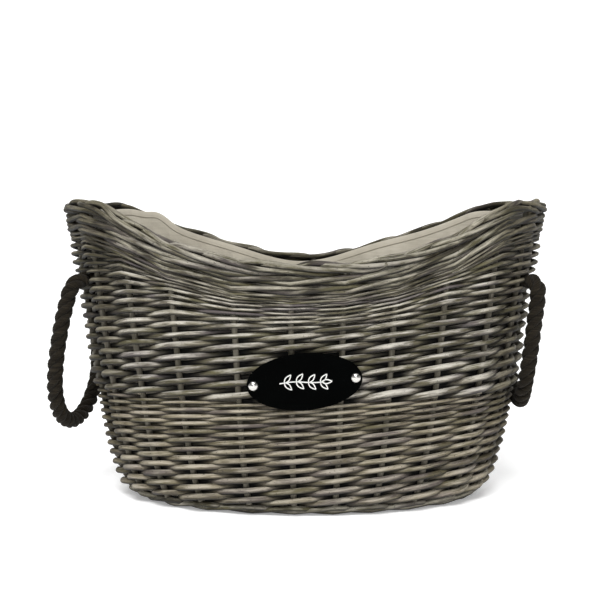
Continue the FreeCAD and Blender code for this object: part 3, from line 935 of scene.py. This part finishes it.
class Strokes:
    """Brush strokes of one width, raised from the plaque's face as one mesh."""

    def __init__(self, centre, along, up, out):
        self.centre, self.along, self.up, self.out = centre, along, up, out
        self.vertices, self.faces = [], []

    def add(self, points):
        """points are two numbers each, along and up the plaque."""
        points = np.asarray(points, float)
        tangent = directions(points)
        side = np.stack([-tangent[:, 1], tangent[:, 0]], axis=1) * STROKE / 2
        start = len(self.vertices)
        corners = ((side, -PAINT_SUNK), (side, PAINT_THICK), (-side, PAINT_THICK), (-side, -PAINT_SUNK))
        for offset, rise in corners:
            flat = points + offset
            row = self.centre + np.outer(flat[:, 0], self.along) + np.outer(flat[:, 1], self.up)
            self.vertices += (row + self.out * rise).tolist()
        count = len(points)
        for band in range(3):
            for i in range(count - 1):
                low, high = start + band * count + i, start + (band + 1) * count + i
                self.faces.append((low, high, high + 1, low + 1))
        for i in (0, count - 1):
            self.faces.append(tuple(start + band * count + i for band in range(4)))

    def build(self, name):
        return mesh_piece(name, self.vertices, self.faces, [False] * len(self.faces))


def leaf(base, heading):
    """The two edges of an almond leaf from its base, pointing along its heading."""
    share = np.linspace(0, 1, 12)
    half = LEAF_WIDTH / 2 * np.sin(math.pi * share**0.85)
    there = np.stack([share * LEAF_LENGTH, -half], axis=1)
    back = np.stack([share * LEAF_LENGTH, half], axis=1)[::-1]
    turn = np.array([[math.cos(heading), math.sin(heading)], [-math.sin(heading), math.cos(heading)]])
    return there @ turn + base, back @ turn + base


def make_motif():
    """A plain sprig in place of a word: a stem that waves gently, with pairs of open leaves."""
    strokes = Strokes(*plaque_frame())
    share = np.linspace(0, 1, 40)
    x = (share - 0.5) * SPRIG_LENGTH
    line = np.stack([x, STEM_WAVE * np.sin(2 * math.pi * share)], axis=1)
    stem = line[: int(STEM_SHARE * len(line))]
    strokes.add(stem)
    for pair in range(LEAF_PAIRS):
        place = FIRST_LEAVES + LEAVES_SPAN * pair / (LEAF_PAIRS - 1)
        base = np.array([np.interp(place, share, line[:, axis]) for axis in (0, 1)])
        for way in (-1, 1):
            for outline in leaf(base, way * LEAF_ANGLE):
                strokes.add(outline)
    for outline in leaf(stem[-1], 0.0):
        strokes.add(outline)
    return strokes.build("plaque_sprig")


# ---- materials ----


def set_stops(ramp, stops):
    """Gives a colour ramp its stops, each a place from 0 to 1 and a colour."""
    elements = ramp.color_ramp.elements
    while len(elements) < len(stops):
        elements.new(0.5)
    for element, (place, colour) in zip(elements, stops):
        element.position = place
        element.color = (*colour, 1)


class Finish:
    """A procedural material, built a node at a time."""

    def __init__(self, name):
        self.material = bpy.data.materials.new(name)
        self.material.use_nodes = True
        self.tree = self.material.node_tree
        self.shader = self.tree.nodes["Principled BSDF"]

    def node(self, kind, inputs, **settings):
        made = self.tree.nodes.new(f"ShaderNode{kind}")
        for key, value in settings.items():
            setattr(made, key, value)
        for key, value in inputs.items():
            self.put(made.inputs[key], value)
        return made

    def put(self, socket, value):
        if isinstance(value, bpy.types.NodeSocket):
            self.tree.links.new(value, socket)
        else:
            socket.default_value = value

    def number(self, name):
        return self.node("Attribute", {}, attribute_name=name).outputs["Fac"]

    def vector(self, name):
        return self.node("Attribute", {}, attribute_name=name).outputs["Vector"]

    def position(self):
        return self.node("NewGeometry", {}).outputs["Position"]

    def sideways(self):
        return self.node("SeparateXYZ", {"Vector": self.position()}).outputs["X"]

    def upward(self):
        """How far the surface faces up: 1 for a top, -1 for an underside."""
        normal = self.node("NewGeometry", {}).outputs["Normal"]
        return self.node("SeparateXYZ", {"Vector": normal}).outputs["Z"]

    def stretched(self, vector, scale):
        return self.node("VectorMath", {0: vector, 1: scale}, operation="MULTIPLY").outputs["Vector"]

    def noise(self, vector, scale, detail, roughness=0.5):
        """Noise as fine as scale says, along each axis of the vector."""
        place = self.stretched(vector, scale)
        inputs = {"Vector": place, "Scale": 1.0, "Detail": detail, "Roughness": roughness}
        return self.node("TexNoise", inputs).outputs["Fac"]

    def mottle(self, scale, detail):
        """Noise through space, equally fine along each axis."""
        return self.noise(self.position(), (scale, scale, scale), detail)

    def ribs(self, vector, scale, direction):
        inputs = {"Vector": self.stretched(vector, scale), "Scale": 1.0, "Distortion": 0.4}
        return self.node("TexWave", inputs, bands_direction=direction).outputs["Fac"]

    def blend(self, a, b, share):
        """A value that is this share b and the rest a."""
        part = self.maths("MULTIPLY", b, share)
        return self.total(self.maths("MULTIPLY", a, 1 - share), part)

    def maths(self, operation, a, b=0.0):
        return self.node("Math", {0: a, 1: b}, operation=operation).outputs["Value"]

    def total(self, value, *others):
        for other in others:
            value = self.maths("ADD", value, other)
        return value

    def spread(self, value, low, high, to_low=0.0, to_high=1.0):
        inputs = {"Value": value, "From Min": low, "From Max": high, "To Min": to_low, "To Max": to_high}
        return self.node("MapRange", inputs).outputs["Result"]

    def ranged(self, noise, low, high):
        """Noise stays mostly between 0.3 and 0.7: this spreads it from low to high."""
        return self.spread(noise, 0.3, 0.7, low, high)

    def ramp(self, value, *stops):
        made = self.node("ValToRGB", {"Fac": value})
        set_stops(made, stops)
        return made.outputs["Color"]

    def mix(self, factor, a, b, blend="MIX"):
        made = self.node("Mix", {}, data_type="RGBA", blend_type=blend)
        self.put(made.inputs["Factor"], factor)
        colours = [socket for socket in made.inputs if socket.type == "RGBA"]
        for socket, colour in zip(colours, (a, b)):
            self.put(socket, colour if isinstance(colour, bpy.types.NodeSocket) else (*colour, 1))
        return next(socket for socket in made.outputs if socket.type == "RGBA")

    def tinted(self, colour, tint):
        return self.mix(1.0, colour, tint, "MULTIPLY")

    def grey(self, value):
        return self.node("CombineColor", {"Red": value, "Green": value, "Blue": value}).outputs["Color"]

    def bump(self, height, strength, distance):
        inputs = {"Height": height, "Strength": strength, "Distance": distance}
        return self.node("Bump", inputs).outputs["Normal"]

    def surface(self, **inputs):
        for key, value in inputs.items():
            self.put(self.shader.inputs[key.replace("_", " ")], value)
        return self.material


WOOD = (
    (0.00, (0.030, 0.024, 0.015)),
    (0.20, (0.066, 0.058, 0.032)),
    (0.38, (0.124, 0.112, 0.068)),
    (0.50, (0.092, 0.080, 0.072)),
    (0.64, (0.155, 0.138, 0.096)),
    (0.80, (0.215, 0.194, 0.140)),
    (1.00, (0.315, 0.285, 0.220)),
)
LIME_WASH_AND_HIGHLIGHT = (0.64, 0.62, 0.575)
OLIVE = (0.120, 0.110, 0.055)
PURPLE_GREY = (0.120, 0.102, 0.112)
# Painted shade darkens the rods towards the basket's two ends, where they turn from the light, from the
# first of these distances from its middle on, and is darkest from the second one.
SHADED_ENDS_FROM = 208 * MM
SHADED_ENDS_FULL = 236 * MM
END_SHADE = (0.44, 0.42, 0.35)


def willow(name, wash_and_highlight, tint, pale, cast):
    """Weathered willow: each rod has its own tone and grain, and a chalky wash, which with a painted
    highlight is palest on the parts that stand out and face up. Painted shade darkens the undersides, what
    lies back between the rods and the basket's two ends. tint is how far single rods turn olive or purple,
    pale lightens the bare wood, and cast colours the whole."""
    finish = Finish(name)
    grain = finish.vector("grain")
    tone = finish.number("tone")
    wear = finish.number("wear")
    upward = finish.upward()
    streaks = finish.noise(grain, (38, 460, 460), detail=4, roughness=0.7)
    patches = finish.noise(grain, (30, 110, 110), detail=3)
    tints = finish.noise(grain, (12, 60, 60), detail=1)
    specks = finish.noise(grain, (330, 600, 600), detail=2)
    shade = finish.total(
        finish.spread(tone, 0.0, 1.0, pale, 0.6 + pale),
        finish.ranged(patches, -0.05, 0.4),
        finish.ranged(streaks, -0.38, 0.38),
    )
    wood = finish.ramp(shade, *WOOD)
    wood = finish.mix(finish.spread(tints, 0.55, 0.68, 0.0, tint), wood, OLIVE)
    wood = finish.mix(finish.spread(tints, 0.45, 0.33, 0.0, tint), wood, PURPLE_GREY)
    # The chalky wash, with painted highlight where rods stand out and face up.
    chalk_and_highlight = finish.total(
        finish.maths("MULTIPLY", wear, 0.7),
        finish.ranged(streaks, -1.1, 1.1),
        finish.ranged(patches, -0.9, 0.9),
        finish.spread(tone, 0.0, 1.0, -0.4, 0.4),
        finish.maths("MULTIPLY", upward, 0.75),
    )
    coat_and_highlight = finish.spread(chalk_and_highlight, 0.35, 2.0, 0.0, wash_and_highlight)
    colour = finish.mix(coat_and_highlight, wood, LIME_WASH_AND_HIGHLIGHT)
    colour = finish.mix(finish.spread(specks, 0.64, 0.70, 0.0, 0.75), colour, (0.03, 0.025, 0.02))
    # Painted shade where the rods lie back between each other and on their undersides.
    recess_shade = finish.spread(wear, -0.6, 0.5, 0.01, 1.0)
    underside_shade = finish.spread(upward, -0.85, 0.1, 0.05, 1.0)
    colour = finish.tinted(colour, finish.grey(finish.maths("MULTIPLY", recess_shade, underside_shade)))
    colour = finish.tinted(colour, cast)
    # Painted shade towards the basket's two ends.
    end_shade = finish.spread(finish.maths("ABSOLUTE", finish.sideways()), SHADED_ENDS_FROM, SHADED_ENDS_FULL)
    colour = finish.mix(end_shade, colour, finish.tinted(colour, END_SHADE))
    height = finish.total(streaks, finish.maths("MULTIPLY", patches, 0.6))
    return finish.surface(
        Base_Color=colour,
        Roughness=finish.ranged(streaks, 0.55, 0.82),
        Specular_IOR_Level=0.35,
        Normal=finish.bump(height, 1.0, 0.0018),
    )


def stake_willow():
    finish = Finish("willow_stakes")
    place = finish.position()
    streaks = finish.noise(place, (900, 900, 60), detail=4)
    patches = finish.noise(place, (60, 60, 14), detail=2)
    shade = finish.blend(streaks, patches, 0.55)
    colour = finish.ramp(
        shade, (0.25, (0.032, 0.028, 0.018)), (0.45, (0.080, 0.072, 0.052)), (0.6, (0.14, 0.127, 0.10)),
        (0.75, (0.21, 0.195, 0.165)),
    )
    height = finish.total(streaks, patches)
    return finish.surface(
        Base_Color=colour, Roughness=0.72, Specular_IOR_Level=0.3, Normal=finish.bump(height, 0.5, 0.0006)
    )


ROPE_COLOURS = (
    (0.32, (0.0026, 0.002, 0.0012)),
    (0.50, (0.010, 0.0078, 0.0048)),
    (0.68, (0.032, 0.026, 0.017)),
)


def rope_fibre(name, lift):
    """Dark tarred fibre. lift is how much paler than the rope's body it is."""
    finish = Finish(name)
    grain = finish.vector("grain")
    yarns = finish.noise(grain, (35, 620, 620), detail=3)
    hairs = finish.noise(grain, (120, 2200, 2200), detail=4, roughness=0.65)
    shade = finish.blend(yarns, hairs, 0.4)
    stops = [(place, tuple(lift * part for part in colour)) for place, colour in ROPE_COLOURS]
    colour = finish.ramp(shade, *stops)
    return finish.surface(
        Base_Color=colour, Roughness=0.9, Specular_IOR_Level=0.1, Normal=finish.bump(shade, 1.0, 0.0016),
        Sheen_Weight=0.04, Sheen_Roughness=0.5,
    )


def linen():
    finish = Finish("liner_linen")
    lay = finish.vector("lay")
    warp = finish.ribs(lay, (1300, 0, 0), "X")
    weft = finish.ribs(lay, (0, 1300, 0), "Y")
    weave = finish.maths("MULTIPLY", warp, weft)
    slubs = finish.noise(lay, (40, 420, 1), detail=3)
    soiling = finish.mottle(16, detail=3)
    shade = finish.blend(slubs, soiling, 0.65)
    colour = finish.ramp(
        shade, (0.3, (0.36, 0.33, 0.27)), (0.5, (0.47, 0.435, 0.36)), (0.7, (0.56, 0.52, 0.44)),
    )
    height = finish.total(weave, finish.maths("MULTIPLY", slubs, 0.8))
    return finish.surface(
        Base_Color=colour, Roughness=0.92, Specular_IOR_Level=0.15, Normal=finish.bump(height, 0.4, 0.0005),
        Sheen_Weight=0.2, Sheen_Roughness=0.5,
    )


def black_paint():
    finish = Finish("plaque_black")
    mottle = finish.mottle(900, detail=3)
    wide = finish.mottle(40, detail=2)
    colour = finish.ramp(wide, (0.3, (0.0003, 0.0004, 0.0004)), (0.7, (0.0007, 0.0009, 0.0009)))
    return finish.surface(
        Base_Color=colour, Roughness=finish.ranged(wide, 0.5, 0.62), Specular_IOR_Level=0.01,
        Normal=finish.bump(mottle, 0.15, 0.0002),
    )


def cream_paint():
    finish = Finish("plaque_cream")
    mottle = finish.mottle(700, detail=3)
    colour = finish.ramp(mottle, (0.3, (0.56, 0.56, 0.54)), (0.7, (0.78, 0.78, 0.76)))
    return finish.surface(Base_Color=colour, Roughness=0.6, Normal=finish.bump(mottle, 0.2, 0.0002))


def bright_steel():
    finish = Finish("bright_steel")
    brushed = finish.mottle(1500, detail=3)
    colour = finish.ramp(brushed, (0.3, (0.50, 0.49, 0.46)), (0.7, (0.74, 0.73, 0.70)))
    return finish.surface(
        Base_Color=colour, Metallic=1.0, Roughness=finish.ranged(brushed, 0.14, 0.26),
        Normal=finish.bump(brushed, 0.08, 0.0002),
    )


def paper():
    finish = Finish("studio_paper")
    mottle = finish.mottle(3, detail=2)
    colour = finish.ramp(mottle, (0.3, (0.90, 0.90, 0.90)), (0.7, (0.93, 0.93, 0.93)))
    return finish.surface(
        Base_Color=colour, Roughness=0.95, Specular_IOR_Level=0.1, Emission_Color=(1, 1, 1, 1),
        Emission_Strength=0.30,
    )


def paint(piece, material):
    """Gives a piece, or a CAD node by name, one material all over."""
    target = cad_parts[piece] if isinstance(piece, str) else piece
    if not target.material_slots:
        target.data.materials.append(material)
    for slot in target.material_slots:
        slot.material = material


# ---- camera, light and floor ----

CAMERA_PLACE = (-0.006, -1.51, 0.341)
CAMERA_LENS = 71.7
CAMERA_SHIFT = -0.1333
FLOOR_REACH = 4.0
BACKDROP_START = 1.2
BACKDROP_BEND = 0.8


def look_at(piece, target):
    piece.rotation_euler = (Vector(target) - piece.location).to_track_quat("-Z", "Y").to_euler()


def make_camera():
    """A level camera near the height of the rim, shifted down so that the whole basket is in the frame."""
    data = bpy.data.cameras.new("camera")
    camera = link("camera", data)
    camera.location = CAMERA_PLACE
    camera.rotation_euler = (math.radians(90), 0, 0)
    data.lens = CAMERA_LENS
    data.sensor_width = 36
    data.shift_y = CAMERA_SHIFT
    bpy.context.scene.camera = camera


def make_floor():
    """A pale floor that curves up into a backdrop."""
    bend = BACKDROP_BEND
    rows = [(-FLOOR_REACH, 0.0), (BACKDROP_START, 0.0)]
    for angle in np.linspace(0.15, math.pi / 2, 10):
        rows.append((BACKDROP_START + math.sin(angle) * bend, bend - math.cos(angle) * bend))
    rows.append((BACKDROP_START + bend, FLOOR_REACH))
    vertices = [(x, y, z) for y, z in rows for x in (-FLOOR_REACH, FLOOR_REACH)]
    faces = [(2 * i, 2 * i + 1, 2 * i + 3, 2 * i + 2) for i in range(len(rows) - 1)]
    floor = mesh_piece("studio_floor", vertices, faces)
    paint(floor, paper())


# Grey of the surroundings by how high they are: from level, 0, to straight overhead, 1.
SKY = ((0.0, 0.5), (0.28, 0.45), (0.46, 0.10), (0.72, 0.10), (0.85, 0.9))


def make_lights():
    for name, place, size, power in (
        ("key_light", (-0.25, -2.35, 2.85), 1.5, 128),
        ("fill_light", (0.4, -2.6, 0.9), 1.2, 7),
    ):
        light = bpy.data.lights.new(name, "AREA")
        light.size = size
        light.energy = power
        lamp = link(name, light)
        lamp.location = place
        look_at(lamp, (0, 0, 0.2))
    make_world()
    bpy.context.scene.view_settings.view_transform = "Standard"


def make_world():
    """Pale surroundings, darker above the horizon and bright overhead."""
    world = bpy.data.worlds.new("studio_world")
    world.use_nodes = True
    tree = world.node_tree
    direction = tree.nodes.new("ShaderNodeTexCoord")
    split = tree.nodes.new("ShaderNodeSeparateXYZ")
    rise = tree.nodes.new("ShaderNodeValToRGB")
    tree.links.new(direction.outputs["Generated"], split.inputs["Vector"])
    tree.links.new(split.outputs["Z"], rise.inputs["Fac"])
    set_stops(rise, [(place, (grey, grey, grey)) for place, grey in SKY])
    tree.links.new(rise.outputs["Color"], tree.nodes["Background"].inputs["Color"])
    bpy.context.scene.world = world


# ---- putting it together ----


def finish_willow():
    weave = willow("willow_weave", wash_and_highlight=0.8, tint=0.75, pale=0.12, cast=(0.88, 0.865, 0.82))
    lower = willow("willow_lower", wash_and_highlight=0.5, tint=0.65, pale=0.3, cast=(0.84, 0.795, 0.71))
    rim = willow("willow_rim", wash_and_highlight=0.55, tint=0.65, pale=-0.06, cast=(0.77, 0.75, 0.675))
    for piece, nodes, material in (
        (make_lower_weave(), ("lower_weave", "dense_band"), lower),
        (make_upper_weave(), ("middle_weave",), weave),
        (make_foot(), ("foot_wale",), rim),
        (make_rim_wale(), ("rim_wale",), rim),
        (make_border(), ("rim_border",), rim),
        (make_base(), ("base_weave",), lower),
    ):
        paint(piece, material)
        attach(piece, "basket")
        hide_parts(*nodes)
    posts = stake_willow()
    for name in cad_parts:
        if name.startswith("stake_") or name in ("base_long_sticks", "base_cross_sticks"):
            paint(name, posts)


def finish_liner():
    cloth = linen()
    side, perimeter = make_liner_side()
    hem = make_liner_hem()
    base, base_length, base_width = make_liner_base()
    for piece in (side, hem, base):
        paint(piece, cloth)
        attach(piece, "basket")
    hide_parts("liner_side")
    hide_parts("liner_base")


def finish_ropes(ropes):
    fibre = rope_fibre("rope_fibre", 1.1)
    hair = rope_fibre("rope_hair", 2.6)
    for rope, fibres in ropes:
        paint(rope, fibre)
        paint(fibres, hair)
    for side_name, side in (("left", -1), ("right", 1)):
        for end_name, end in (("front", -1), ("back", 1)):
            paint(make_knot(side_name, side, end_name, end), fibre)


def finish_plaque():
    paint("plaque", black_paint())
    steel = bright_steel()
    for name in ("plaque_bolts", "plaque_washers", "plaque_nuts"):
        paint(name, steel)
    motif = make_motif()
    paint(motif, cream_paint())
    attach(motif, "basket")


make_camera()
ropes = [make_rope("left", -1, LEFT_LOOP), make_rope("right", 1, RIGHT_LOOP)]
finish_ropes(ropes)
finish_willow()
finish_liner()
finish_plaque()
make_floor()
make_lights()
